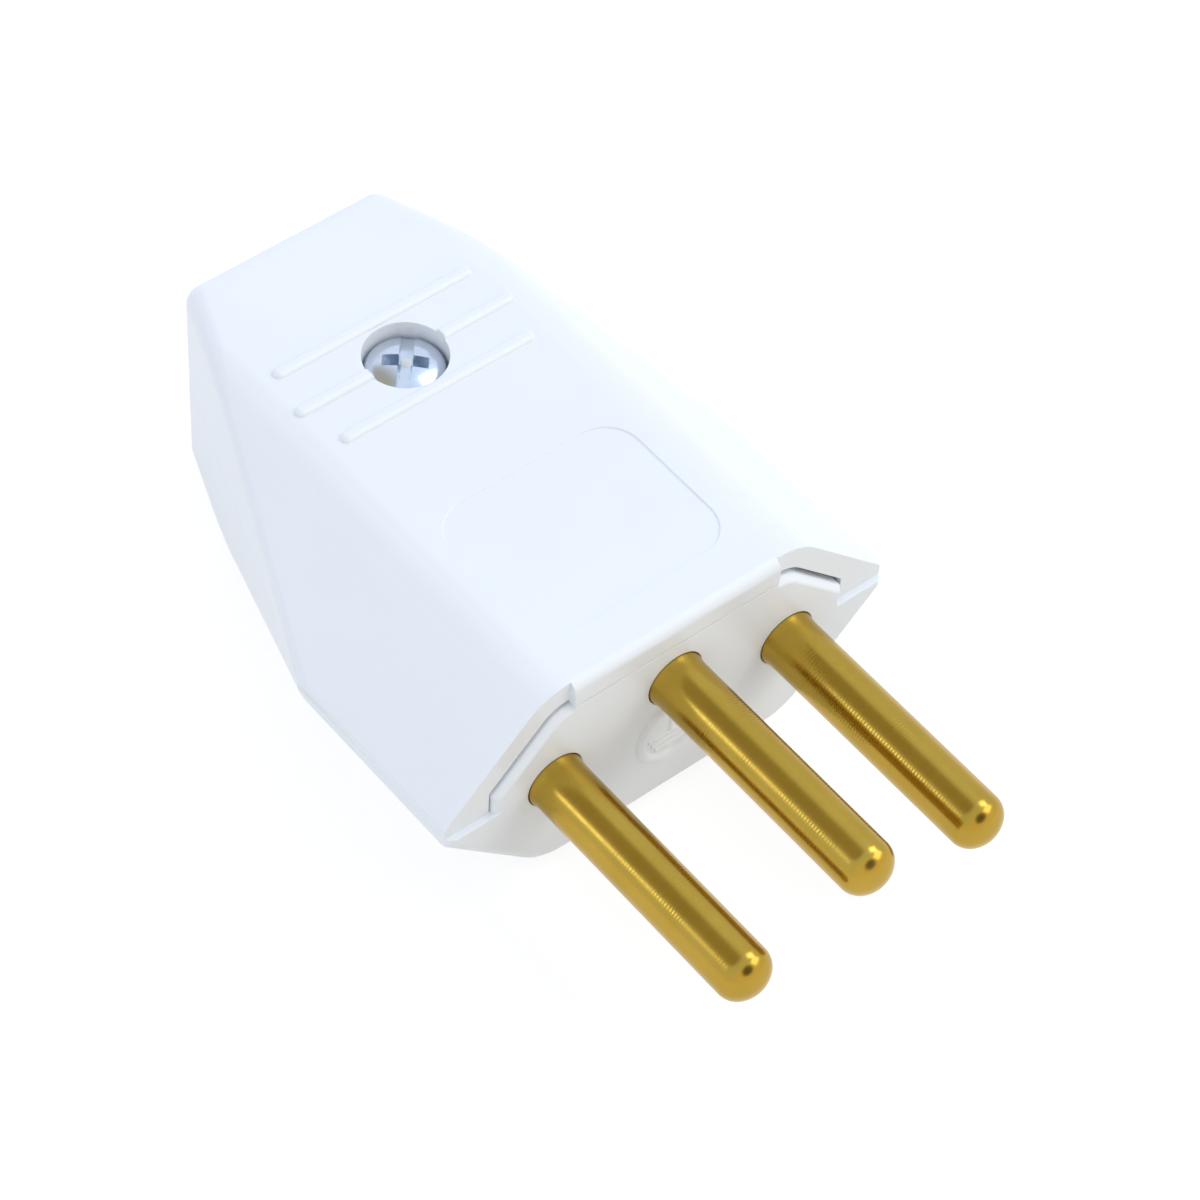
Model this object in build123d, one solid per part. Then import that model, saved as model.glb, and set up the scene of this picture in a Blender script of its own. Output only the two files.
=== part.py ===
from build123d import *
import os
from math import cos, radians, sqrt, tan

# Rewirable three-pin plug. The pins point along -Y, the cable leaves along +Y and +Z is up.
# The origin is on the mating face, midway between the line and neutral pins, so the two
# half shells part on the plane z = 0.

# Pins: three round pins, the earth pin between the other two and raised above them
pin_spacing = 19.0
earth_rise = 3.0
pin_diameter = 4.0
pin_reach = 19.8
tip_radius = 2.3
root_diameter = 4.2
root_taper = 0.5

# Terminal barrel on the tail of each pin, with a bore for the conductor
barrel_length = 9.6
roof_clearance = 0.4
wire_bore = 3.2
wire_depth = 7.4
terminal_thread = 3.0
terminal_set_back = 5.2
terminal_screw_proud = 0.3
terminal_screw_tip = 0.1
terminal_slot_width = 0.6
terminal_slot_depth = 0.8

# Outside of the body: a bar with sloping shoulders that tapers in plan towards the cable
body_width = 35.8
body_height = 16.8
body_length = 41.8
side_land = 1.6
shoulder_angle = 45.0
shoulder_round = 4.5
straight_length = 15.7
rear_width = 15.9
edge_round = 1.4

# Walls of the two shells, and the front block that fills the mouth of the cover
base_wall = 1.6
cover_wall = 1.7
inner_round = 0.6
mouth_width = 28.8
mouth_gap = 0.35
side_gap = 0.12
block_depth = 7.0
front_round = 0.8
block_chamfer = 0.4
rim_set_back = 0.5
lip_width = 16.6
lip_depth = 2.6
lip_round = 0.8
lip_gap = 0.05

# Seats of the pins: bores through the front block, a stop wall behind the barrels and a
# hold-down rib in the cover
bore_clearance = 0.05
stop_wall = 1.5
stop_clearance = 0.1
stop_height = 1.4
wire_slot = 3.8
hold_down_wall = 1.4
hold_down_set_back = 2.6
hold_down_clearance = 0.2

# Cover screw, its nut and the two columns that they pull together
screw_set_back = 28.1
screw_thread = 3.0
screw_clearance = 0.2
screw_turn = 48.0
head_diameter = 5.4
head_height = 2.0
head_bevel = 0.6
head_sunk = 0.5
slot_width = 0.9
slot_depth = 0.9
cross_length = 3.2
cross_depth = 1.3
counterbore = 5.8
column_wall = 1.3
nut_flats = 5.5
nut_height = 2.4
nut_sunk = 0.2
nut_clearance = 0.1
thread_clearance = 0.05

# Grip ribs across the top, the middle one level with the cover screw, and the bare panel
rib_pitch = 3.5
rib_width = 0.95
rib_height = 0.35
rib_chamfer = 0.2
rear_rib_length = 16.0
middle_rib_length = 17.6
front_rib_length = 15.6
panel_width = 15.2
panel_length = 12.4
panel_set_back = 9.8
panel_round = 2.6
panel_depth = 0.12

# Cable entry, and the clamp that holds the cord just inside it
entry_diameter = 8.6
cord_diameter = 6.2
clamp_gap = 0.5
clamp_width = 4.4
clamp_foot = 1.8
clamp_wall = 0.8
clamp_thread = 2.2
clamp_head_diameter = 4.0
clamp_head_height = 1.5
clamp_screw_grip = 4.6
clamp_boss_wall = 1.1
saddle_wall = 1.4
saddle_pitch = 3.0

half_height = body_height / 2
slope = radians(shoulder_angle)
crown_half = body_width / 2 - (half_height - side_land / 2) / tan(slope)
flare = (body_width - rear_width) / 2 / (body_length - straight_length)
barrel_diameter = 2 * (half_height - cover_wall - roof_clearance - terminal_screw_proud - earth_rise)
barrel_end = block_depth + barrel_length
stop_front = barrel_end + stop_clearance
root_bore = root_diameter + 2 * bore_clearance
screw_bore = screw_thread + 2 * screw_clearance
head_seat = half_height - head_sunk - head_height
nut_bottom = nut_sunk - half_height
nut_seat = nut_bottom + nut_height
nut_pocket = nut_flats + 2 * nut_clearance
column_width = nut_pocket / cos(radians(30)) + 2 * column_wall
clamp_set_back = screw_set_back + column_width / 2 + clamp_gap + clamp_width / 2
clamp_screw_spacing = cord_diameter + 2 * clamp_wall + clamp_head_diameter + 2 * screw_clearance
block_inset = cover_wall + mouth_gap
block_width = mouth_width - 2 * side_gap
pin_places = {
    "line": Pos(-pin_spacing / 2, 0, 0),
    "neutral": Pos(pin_spacing / 2, 0, 0),
    "earth": Pos(0, 0, earth_rise),
}
screw_place = Pos(0, screw_set_back, 0)
clamp_places = {
    "left": Pos(-clamp_screw_spacing / 2, clamp_set_back, 0),
    "right": Pos(clamp_screw_spacing / 2, clamp_set_back, 0),
}


def rod(diameter, front, back):
    # Round bar along Y on the axis x = z = 0
    upright = Cylinder(diameter / 2, back - front, align=(Align.CENTER, Align.CENTER, Align.MIN))
    return Pos(0, front, 0) * Rot(-90, 0, 0) * upright


def post(diameter, bottom, top):
    # Round bar along Z on the axis x = y = 0
    upright = Cylinder(diameter / 2, top - bottom, align=(Align.CENTER, Align.CENTER, Align.MIN))
    return Pos(0, 0, bottom) * upright


def slab(width, front, back, bottom, top):
    # Block centred on x = 0
    block = Box(width, back - front, top - bottom, align=(Align.CENTER, Align.MIN, Align.MIN))
    return Pos(0, front, bottom) * block


def pillar(width, bottom, top):
    # Square post on the axis x = y = 0
    return slab(width, -width / 2, width / 2, bottom, top)


def half_section(inset):
    # Upper cross section, a flat crown with sloping shoulders carried on below the parting plane
    crown = crown_half - inset * tan(slope / 2)
    top = half_height - inset
    foot = crown + (top + half_height) / tan(slope)
    outline = Polygon((-foot, -half_height), (foot, -half_height), (crown, top), (-crown, top), align=None)
    corners = outline.vertices().group_by(Axis.Y)[-1]
    return fillet(corners, max(shoulder_round - inset, inner_round))


def half_plan(inset):
    # Plan outline: two flanks that draw in towards the cable end
    front = -body_length
    rear = body_length - inset
    flank = inset * sqrt(1 + flare**2)
    front_half = rear_width / 2 + flare * (body_length - front) - flank
    rear_half = rear_width / 2 + flare * inset - flank
    outline = Polygon(
        (-front_half, front), (front_half, front), (rear_half, rear), (-rear_half, rear), align=None
    )
    corners = outline.vertices().group_by(Axis.Y)[-1]
    return fillet(corners, max(edge_round - inset, inner_round))


def half_blank(inset):
    # Bar and plan in one, before it is trimmed to its width and to the parting plane
    bar = extrude(Plane.XZ * half_section(inset), amount=body_length - inset, dir=(0, 1, 0))
    return bar & extrude(half_plan(inset), amount=half_height, both=True)


def half_form(width, inset, front=0.0):
    # Upper half of a hollow or of what fills it, with sharp edges
    return half_blank(inset) & slab(width, front, body_length, 0, half_height)


def half_body():
    # Upper half of the outside, with soft edges along the flanks and the cable end
    blank = half_blank(0)
    edges = blank.edges().filter_by(Axis.Y, reverse=True).filter_by(Axis.Z, reverse=True)
    soft = edges.filter_by(lambda e: e.center().Y > 0.001 and e.center().Z > 0.001 - half_height)
    return fillet(soft, edge_round) & slab(body_width, 0, body_length, 0, half_height)


def front_edges(shape, front):
    # Outline edges of the face at y = front, apart from those on the parting plane
    edges = shape.faces().filter_by(Plane.XZ).filter_by_position(Axis.Y, front - 0.001, front + 0.001).edges()
    return edges.filter_by(lambda e: abs(e.center().Z) > 0.001)


def cable_entry():
    # Round hole through the end wall, half of it in each shell
    return rod(entry_diameter, body_length - 2 * base_wall, body_length + base_wall)


def stop_walls():
    # Wall behind the barrels, with an open slot for each conductor
    back = stop_front + stop_wall
    wall = slab(body_width, stop_front, back, -half_height, stop_height)
    wall += slab(barrel_diameter, stop_front, back, 0, earth_rise + stop_height)
    for place in pin_places.values():
        wall -= place * slab(wire_slot, stop_front, back, -wire_slot / 2, half_height)
    return wall


def base_shell():
    lower = mirror(half_body(), about=Plane.XY)
    lower = fillet(front_edges(lower, 0), front_round)
    hollow = mirror(half_form(mouth_width, base_wall, block_depth), about=Plane.XY)

    block = half_form(block_width, block_inset) & slab(body_width, 0, block_depth, 0, half_height)
    block = chamfer(front_edges(block, 0), block_chamfer)
    block += slab(lip_width, 0, block_depth, 0, half_height - block_inset)

    fittings = stop_walls() + screw_place * pillar(column_width, -half_height, 0)
    for place in clamp_places.values():
        fittings += place * pillar(clamp_thread + 2 * clamp_boss_wall, -half_height, 0)
    for side in (-1, 1):
        front = clamp_set_back + side * saddle_pitch / 2 - saddle_wall / 2
        saddle = slab(clamp_screw_spacing, front, front + saddle_wall, -half_height, 0)
        fittings += saddle - rod(cord_diameter, front, front + saddle_wall)
    room = lower + half_form(block_width, block_inset)

    shell = lower - hollow + block + (fittings & room)
    for place in pin_places.values():
        shell -= place * rod(root_bore, 0, block_depth)
    shell -= screw_place * post(screw_bore, -body_height, 0)
    hexagon = extrude(RegularPolygon(nut_pocket / 2, 6, major_radius=False), amount=nut_seat + body_height)
    shell -= screw_place * Pos(0, 0, -body_height) * hexagon
    for place in clamp_places.values():
        shell -= place * post(clamp_thread + 2 * thread_clearance, -clamp_screw_grip - thread_clearance, 0)
    return shell - cable_entry()


def hold_down():
    # Rib under the roof of the cover that keeps the barrels in their seats
    front = barrel_end - hold_down_set_back
    back = front + hold_down_wall
    seat = barrel_diameter + 2 * hold_down_clearance
    rib = slab(body_width, front, back, mouth_gap, half_height)
    for place in pin_places.values():
        rib -= place * slab(seat, front, back, -half_height, seat / 2)
    return rib


def grip_ribs():
    ribs = Part()
    lengths = [front_rib_length, middle_rib_length, rear_rib_length]
    for step, length in zip((-1, 0, 1), lengths):
        bar = extrude(SlotOverall(length, rib_width), amount=rib_height + cover_wall / 2)
        bar = chamfer(bar.faces().sort_by(Axis.Z)[-1].edges(), rib_chamfer)
        ribs += screw_place * Pos(0, step * rib_pitch, half_height - cover_wall / 2) * bar
    return ribs


def top_cover():
    body = half_body()
    upper = body & slab(body_width, rim_set_back, body_length, 0, half_height)
    lip = body & slab(lip_width, 0, lip_depth, half_height - block_inset + lip_gap, half_height)
    lip_edge = lip.edges().filter_by(Axis.X).group_by(Axis.Y)[0].sort_by(Axis.Z)[-1]
    lip = fillet(lip_edge, lip_round)

    hollow = half_form(mouth_width, cover_wall)
    fittings = hold_down() + screw_place * pillar(counterbore + 2 * column_wall, 0, half_height)
    room = half_form(body_width, cover_wall / 2)

    upper -= slab(lip_width, 0, lip_depth, half_height - block_inset, half_height)
    cover = upper - hollow + lip + (fittings & room) + grip_ribs()
    panel = extrude(RectangleRounded(panel_width, panel_length, panel_round), amount=half_height)
    cover -= Pos(0, panel_set_back, half_height - panel_depth) * panel
    cover -= screw_place * post(counterbore, head_seat, body_height)
    cover -= screw_place * post(screw_bore, 0, head_seat)
    return cover - cable_entry()


def pin():
    # Turned pin on the axis x = z = 0: domed contact, root that widens into the shell and barrel
    tip_centre = tip_radius - pin_reach
    dome = rod(pin_diameter, -pin_reach, tip_centre) & Pos(0, tip_centre, 0) * Sphere(tip_radius)
    contact = rod(pin_diameter, tip_centre, 0) + dome
    taper = Cone(
        pin_diameter / 2, root_diameter / 2, root_taper, align=(Align.CENTER, Align.CENTER, Align.MAX)
    )
    root = Rot(-90, 0, 0) * taper + rod(root_diameter, 0, block_depth)
    barrel = rod(barrel_diameter, block_depth, barrel_end)
    bore = rod(wire_bore, barrel_end - wire_depth, barrel_end)
    tapped = Pos(0, block_depth + terminal_set_back, 0)
    tapped *= post(terminal_thread + 2 * thread_clearance, 0, barrel_diameter)
    return contact + root + barrel - bore - tapped


def terminal_screw():
    # Slotted set screw, upright over the bore of a barrel
    top = barrel_diameter / 2 + terminal_screw_proud
    screw = post(terminal_thread, terminal_screw_tip, top)
    slot = slab(
        terminal_thread, -terminal_slot_width / 2, terminal_slot_width / 2, top - terminal_slot_depth, top
    )
    return Pos(0, block_depth + terminal_set_back, 0) * (screw - slot)


def cover_screw():
    # Pan head with a full slot and a short cross arm, on a shank that ends flush with the nut
    top = head_seat + head_height
    screw = post(head_diameter, head_seat, top)
    screw = chamfer(screw.edges().filter_by(GeomType.CIRCLE).sort_by(Axis.Z)[-1], head_bevel)
    screw += post(screw_thread, nut_bottom, head_seat)
    half_slot = slot_width / 2
    screw -= slab(head_diameter, -half_slot, half_slot, top - slot_depth, top)
    for turn in (0, 90):
        screw -= Rot(0, 0, turn) * slab(cross_length, -half_slot, half_slot, top - cross_depth, top)
    return screw_place * Rot(0, 0, screw_turn) * screw


def cover_nut():
    hexagon = extrude(RegularPolygon(nut_flats / 2, 6, major_radius=False), amount=nut_height)
    nut = Pos(0, 0, nut_bottom) * hexagon
    return screw_place * (nut - post(screw_thread + 2 * thread_clearance, nut_bottom, nut_seat))


def cord_clamp():
    # Bridge with two feet and a raised middle over the cord, cut to clear the walls of the cover
    front = clamp_set_back - clamp_width / 2
    back = clamp_set_back + clamp_width / 2
    bridge = slab(body_width, front, back, 0, clamp_foot)
    bridge += slab(cord_diameter + 2 * clamp_wall, front, back, 0, cord_diameter / 2 + clamp_wall)
    bridge -= rod(cord_diameter, front, back)
    bridge &= half_form(block_width, block_inset)
    for place in clamp_places.values():
        bridge -= place * post(clamp_thread + 2 * screw_clearance, 0, clamp_foot)
    return bridge


def clamp_screw():
    # Slotted cheese head on a shank that ends in the boss below
    top = clamp_foot + clamp_head_height
    screw = post(clamp_head_diameter, clamp_foot, top) + post(clamp_thread, -clamp_screw_grip, clamp_foot)
    return screw - slab(
        clamp_head_diameter, -terminal_slot_width / 2, terminal_slot_width / 2, top - terminal_slot_depth, top
    )


pieces = {
    "base_shell": base_shell(),
    "top_cover": top_cover(),
    "cover_screw": cover_screw(),
    "cover_nut": cover_nut(),
    "cord_clamp": cord_clamp(),
}
for pole, place in pin_places.items():
    pieces[f"{pole}_pin"] = place * pin()
    pieces[f"{pole}_terminal_screw"] = place * terminal_screw()
for side, place in clamp_places.items():
    pieces[f"clamp_screw_{side}"] = place * clamp_screw()

os.makedirs("parts", exist_ok=True)
for name, piece in pieces.items():
    export_step(piece, f"parts/{name}.step")
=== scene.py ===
import bmesh
import bpy
import math
from mathutils import Matrix, Vector


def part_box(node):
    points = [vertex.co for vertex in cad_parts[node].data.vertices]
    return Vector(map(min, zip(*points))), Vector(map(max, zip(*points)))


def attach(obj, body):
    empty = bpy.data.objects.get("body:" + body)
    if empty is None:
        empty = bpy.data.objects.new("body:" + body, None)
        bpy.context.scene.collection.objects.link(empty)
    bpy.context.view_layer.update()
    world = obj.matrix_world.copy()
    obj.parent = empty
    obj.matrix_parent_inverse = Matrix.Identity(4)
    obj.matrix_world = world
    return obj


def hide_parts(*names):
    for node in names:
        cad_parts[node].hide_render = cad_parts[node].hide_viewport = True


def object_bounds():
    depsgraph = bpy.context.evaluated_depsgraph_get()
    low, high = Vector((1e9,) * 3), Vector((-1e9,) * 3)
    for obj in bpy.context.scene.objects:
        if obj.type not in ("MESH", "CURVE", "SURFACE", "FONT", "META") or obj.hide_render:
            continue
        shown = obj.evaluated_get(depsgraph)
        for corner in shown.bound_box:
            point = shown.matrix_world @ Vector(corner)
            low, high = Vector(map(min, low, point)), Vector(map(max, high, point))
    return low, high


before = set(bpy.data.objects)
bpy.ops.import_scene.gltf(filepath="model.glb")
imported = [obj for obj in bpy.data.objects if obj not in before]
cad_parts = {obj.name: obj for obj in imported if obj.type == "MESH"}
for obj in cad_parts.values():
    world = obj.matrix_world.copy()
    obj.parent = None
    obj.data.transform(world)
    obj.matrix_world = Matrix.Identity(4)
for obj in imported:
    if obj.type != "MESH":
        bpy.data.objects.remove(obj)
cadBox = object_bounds()
print("frame:", len(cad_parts), "solids")

mm = 0.001  # pieces are shaped in millimetres and scaled to metres last
weldGap = 0.0005  # points nearer than this, in millimetres, become one
noiseSpan = (0.3, 0.7)  # what a noise texture mostly stays between
scene = bpy.context.scene
scene.view_settings.view_transform = "Standard"


def hexColour(text):
    # sRGB hex to linear light
    channels = [int(text[i:i + 2], 16) / 255 for i in (1, 3, 5)]
    linear = [c / 12.92 if c <= 0.04045 else ((c + 0.055) / 1.055) ** 2.4 for c in channels]
    return (*linear, 1.0)


def addNode(tree, kind, inputs=None, **settings):
    # an input is a value, a socket to link, or a list of sockets where several go in
    node = tree.nodes.new(kind)
    for name, value in settings.items():
        setattr(node, name, value)
    for socket, value in (inputs or {}).items():
        for item in value if isinstance(value, list) else [value]:
            if isinstance(item, bpy.types.NodeSocket):
                tree.links.new(item, node.inputs[socket])
            else:
                node.inputs[socket].default_value = item
    return node


def newMaterial(name):
    material = bpy.data.materials.new(name)
    material.use_nodes = True
    tree = material.node_tree
    tree.nodes.clear()
    place = addNode(tree, "ShaderNodeTexCoord").outputs["Object"]
    shader = addNode(tree, "ShaderNodeBsdfPrincipled")
    addNode(tree, "ShaderNodeOutputMaterial", {"Surface": shader.outputs["BSDF"]})
    return material, tree, place, shader


def joinShader(tree, shader, tint, gloss, relief):
    tree.links.new(tint.outputs[2], shader.inputs["Base Color"])
    tree.links.new(gloss.outputs["Result"], shader.inputs["Roughness"])
    tree.links.new(relief.outputs["Normal"], shader.inputs["Normal"])


def perMetre(size):
    return 1000 / size  # texture scale for a feature of that many millimetres


def solidBox(node):
    low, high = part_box(node)
    return low / mm, high / mm


def solidMiddle(node):
    low, high = solidBox(node)
    return (low + high) / 2


# White ABS from a polished mould: even, cool white, soft gloss, faint ripple under raking light
mouldedWhite = {
    "pale": "#F3F6FA",
    "deep": "#ECF0F5",
    "cloud": 14.0,
    "ripple": 2.4,
    "rippleHeight": 0.004,
    "grain": 0.3,
    "grainHeight": 0.0005,
    "roughness": (0.29, 0.36),
    "ior": 1.54,
}


def makeMouldedWhite(name, look):
    material, tree, place, shader = newMaterial(name)
    cloud = addNode(tree, "ShaderNodeTexNoise", {
        "Vector": place, "Scale": perMetre(look["cloud"]), "Detail": 2.0,
    })
    ripple = addNode(tree, "ShaderNodeTexNoise", {
        "Vector": place, "Scale": perMetre(look["ripple"]), "Detail": 1.0,
    })
    grain = addNode(tree, "ShaderNodeTexNoise", {
        "Vector": place, "Scale": perMetre(look["grain"]), "Detail": 2.0,
    })
    tint = addNode(tree, "ShaderNodeMix", {
        "Factor": cloud.outputs["Fac"], 6: hexColour(look["pale"]), 7: hexColour(look["deep"]),
    }, data_type="RGBA")
    gloss = addNode(tree, "ShaderNodeMapRange", {
        "Value": grain.outputs["Fac"], "From Min": noiseSpan[0], "From Max": noiseSpan[1],
        "To Min": look["roughness"][0], "To Max": look["roughness"][1],
    })
    wave = addNode(tree, "ShaderNodeBump", {
        "Height": ripple.outputs["Fac"], "Strength": 1.0, "Distance": look["rippleHeight"] * mm,
    })
    skin = addNode(tree, "ShaderNodeBump", {
        "Height": grain.outputs["Fac"], "Strength": 1.0, "Distance": look["grainHeight"] * mm,
        "Normal": wave.outputs["Normal"],
    })
    shader.inputs["IOR"].default_value = look["ior"]
    joinShader(tree, shader, tint, gloss, skin)
    return material


# Brass turned on a lathe: olive gold, with patches of fine rings that break up the highlight line
turnedBrass = {
    "bright": "#C2A146",
    "aged": "#AE8E36",
    "patch": 3.5,
    "ring": 0.24,  # drawn coarser than the real feed marks, so that they show
    "ringHeight": 0.0065,
    "ringWander": (1.6, 1.5),  # how far the rings stray from even, and how finely
    "ringKept": (0.42, 0.6),  # patch value at which rings are worn away, and left whole
    "ringStart": (-2.5, -4.5),  # along the pin from its root: where rings are nil, then whole
    "ringStop": (-18.2, -17.2),  # the same at the tip
    "scratch": 0.12,
    "scratchSquash": 0.03,  # squashed across the pin, so that the scratches run round it
    "scratchHeight": 0.0004,
    "roughness": (0.18, 0.26),
}


def makeTurnedBrass(name, look):
    material, tree, place, shader = newMaterial(name)
    patch = addNode(tree, "ShaderNodeTexNoise", {
        "Vector": place, "Scale": perMetre(look["patch"]), "Detail": 3.0,
    })
    waveLength = math.pi / 10  # of a wave texture whose scale is 1
    rings = addNode(tree, "ShaderNodeTexWave", {
        "Vector": place, "Scale": waveLength * perMetre(look["ring"]),
        "Distortion": look["ringWander"][0], "Detail": 2.0, "Detail Scale": look["ringWander"][1],
    }, bands_direction="Y")
    squash = look["scratchSquash"]
    drawn = addNode(tree, "ShaderNodeMapping", {"Vector": place, "Scale": (squash, 1.0, squash)})
    scratches = addNode(tree, "ShaderNodeTexNoise", {
        "Vector": drawn.outputs["Vector"], "Scale": perMetre(look["scratch"]), "Detail": 3.0,
    })
    tint = addNode(tree, "ShaderNodeMix", {
        "Factor": patch.outputs["Fac"], 6: hexColour(look["bright"]), 7: hexColour(look["aged"]),
    }, data_type="RGBA")
    gloss = addNode(tree, "ShaderNodeMapRange", {
        "Value": scratches.outputs["Fac"], "From Min": noiseSpan[0], "From Max": noiseSpan[1],
        "To Min": look["roughness"][0], "To Max": look["roughness"][1],
    })
    kept = addNode(tree, "ShaderNodeMapRange", {
        "Value": patch.outputs["Fac"], "From Min": look["ringKept"][0],
        "From Max": look["ringKept"][1],
    })
    axes = addNode(tree, "ShaderNodeSeparateXYZ", {0: place})
    for nil, whole in (look["ringStart"], look["ringStop"]):
        kept = addNode(tree, "ShaderNodeMapRange", {
            "Value": axes.outputs["Y"], "From Min": nil * mm, "From Max": whole * mm,
            "To Max": kept.outputs["Result"],
        })
    marks = addNode(tree, "ShaderNodeMath", {
        0: rings.outputs["Fac"], 1: kept.outputs["Result"],
    }, operation="MULTIPLY")
    ringBump = addNode(tree, "ShaderNodeBump", {
        "Height": marks.outputs[0], "Strength": 1.0, "Distance": look["ringHeight"] * mm,
    })
    scratchBump = addNode(tree, "ShaderNodeBump", {
        "Height": scratches.outputs["Fac"], "Strength": 1.0,
        "Distance": look["scratchHeight"] * mm, "Normal": ringBump.outputs["Normal"],
    })
    shader.inputs["Metallic"].default_value = 1.0
    joinShader(tree, shader, tint, gloss, scratchBump)
    return material


# Bright zinc plate on a formed screw: cool blue-grey, glossy, with faint clouds from the bath
brightZinc = {
    "bright": "#E0E8F2",
    "dull": "#C8D2DF",
    "cloud": 0.9,
    "pit": 0.12,
    "pitHeight": 0.0015,
    "roughness": (0.14, 0.26),
}

# Plain steel of the terminal screws: neutral grey, a little duller, with a rougher skin
turnedSteel = {
    "bright": "#C4C6C8",
    "dull": "#A2A4A7",
    "cloud": 0.7,
    "pit": 0.1,
    "pitHeight": 0.0025,
    "roughness": (0.28, 0.42),
}


def makePlatedMetal(name, look):
    material, tree, place, shader = newMaterial(name)
    cloud = addNode(tree, "ShaderNodeTexNoise", {
        "Vector": place, "Scale": perMetre(look["cloud"]), "Detail": 3.0,
    })
    pit = addNode(tree, "ShaderNodeTexNoise", {
        "Vector": place, "Scale": perMetre(look["pit"]), "Detail": 2.0,
    })
    tint = addNode(tree, "ShaderNodeMix", {
        "Factor": cloud.outputs["Fac"], 6: hexColour(look["bright"]), 7: hexColour(look["dull"]),
    }, data_type="RGBA")
    gloss = addNode(tree, "ShaderNodeMapRange", {
        "Value": cloud.outputs["Fac"], "From Min": noiseSpan[0], "From Max": noiseSpan[1],
        "To Min": look["roughness"][0], "To Max": look["roughness"][1],
    })
    bump = addNode(tree, "ShaderNodeBump", {
        "Height": pit.outputs["Fac"], "Strength": 1.0, "Distance": look["pitHeight"] * mm,
    })
    shader.inputs["Metallic"].default_value = 1.0
    joinShader(tree, shader, tint, gloss, bump)
    return material


# Natural nylon of the cord clamp: matt, slightly yellow, grained by the mould
clampNylon = dict(
    mouldedWhite, pale="#E9E6DC", deep="#DDD9CC", grainHeight=0.006, roughness=(0.42, 0.56),
)

whiteShell = makeMouldedWhite("mouldedWhiteAbs", mouldedWhite)
nylonClamp = makeMouldedWhite("grainedNylon", clampNylon)
brassPin = makeTurnedBrass("turnedBrass", turnedBrass)
zincScrew = makePlatedMetal("brightZincPlate", brightZinc)
steelScrew = makePlatedMetal("turnedSteel", turnedSteel)
print("materials ready")


def makeTree(name, sizes):
    tree = bpy.data.node_groups.new(name, "GeometryNodeTree")
    kinds = {
        int: "NodeSocketInt", float: "NodeSocketFloat", bool: "NodeSocketBool",
        tuple: "NodeSocketVector",
    }
    sockets = tree.interface
    sockets.new_socket("Geometry", in_out="INPUT", socket_type="NodeSocketGeometry")
    for label, kind in sizes.items():
        sockets.new_socket(label, in_out="INPUT", socket_type=kinds[kind])
    sockets.new_socket("Finish", in_out="INPUT", socket_type="NodeSocketMaterial")
    sockets.new_socket("Geometry", in_out="OUTPUT", socket_type="NodeSocketGeometry")
    return tree, addNode(tree, "NodeGroupInput").outputs


def closeTree(tree, given, shape):
    real = addNode(tree, "GeometryNodeRealizeInstances", {"Geometry": shape})
    finish = addNode(tree, "GeometryNodeSetMaterial", {
        "Geometry": real.outputs["Geometry"], "Material": given["Finish"],
    })
    addNode(tree, "NodeGroupOutput", {"Geometry": finish.outputs["Geometry"]})
    return tree


def runTree(name, tree, mesh, values, finish):
    source = bpy.data.objects.new(name + "Source", mesh)
    scene.collection.objects.link(source)
    modifier = source.modifiers.new(name, "NODES")
    modifier.node_group = tree
    values = dict(values, Finish=finish)
    for item in tree.interface.items_tree:
        if item.in_out == "INPUT" and item.name in values:
            modifier[item.identifier] = values[item.name]
    return plainMesh(name, source)


def plainMesh(name, source):
    depsgraph = bpy.context.evaluated_depsgraph_get()
    made = bpy.data.meshes.new_from_object(source.evaluated_get(depsgraph))
    made.name = name
    source.modifiers.clear()
    bpy.data.objects.remove(source)
    return made


def settle(name, mesh, node, sharp=None):
    # a mesh in millimetres becomes the finished piece that stands for a CAD node
    mesh.transform(Matrix.Scale(mm, 4))
    for vertex in mesh.vertices:  # rounding to metres must not push a corner out of the part's box
        vertex.co = [min(max(vertex.co[i], cadBox[0][i]), cadBox[1][i]) for i in range(3)]
    if sharp:
        mesh.shade_smooth()
        mesh.set_sharp_from_angle(angle=math.radians(sharp))
    piece = bpy.data.objects.new(name, mesh)
    scene.collection.objects.link(piece)
    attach(piece, "root")
    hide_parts(node)
    print(name, len(mesh.polygons), "faces")


def profileMesh(name, points):
    # half section for the lathe: radius along x, height along y, and how deep a thread bites
    mesh = bpy.data.meshes.new(name)
    edges = [(i, i + 1) for i in range(len(points) - 1)]
    mesh.from_pydata([(p[0], p[1], 0.0) for p in points], edges, [])
    bite = mesh.attributes.new("threadBite", "FLOAT", "POINT")
    bite.data.foreach_set("value", [p[2] if len(p) > 2 else 0.0 for p in points])
    return mesh


def addLathe(tree, given, profile):
    # sweeps a half section round the z axis, on a ring of radius 1 that the section is moved in by
    inward = addNode(tree, "GeometryNodeTransform", {
        "Geometry": profile, "Translation": (-1.0, 0.0, 0.0), "Scale": (1.0, -1.0, 1.0),
    })
    section = addNode(tree, "GeometryNodeMeshToCurve", {"Mesh": inward.outputs["Geometry"]})
    ring = addNode(tree, "GeometryNodeCurvePrimitiveCircle", {
        "Resolution": given["Sides"], "Radius": 1.0,
    })
    upright = addNode(tree, "GeometryNodeSetCurveNormal", {
        "Curve": ring.outputs["Curve"],
    }, mode="Z_UP")
    swept = addNode(tree, "GeometryNodeCurveToMesh", {
        "Curve": upright.outputs["Curve"], "Profile Curve": section.outputs["Curve"],
    })
    closed = addNode(tree, "GeometryNodeMergeByDistance", {
        "Geometry": swept.outputs["Mesh"], "Distance": weldGap,
    })
    return closed.outputs["Geometry"]


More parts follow.
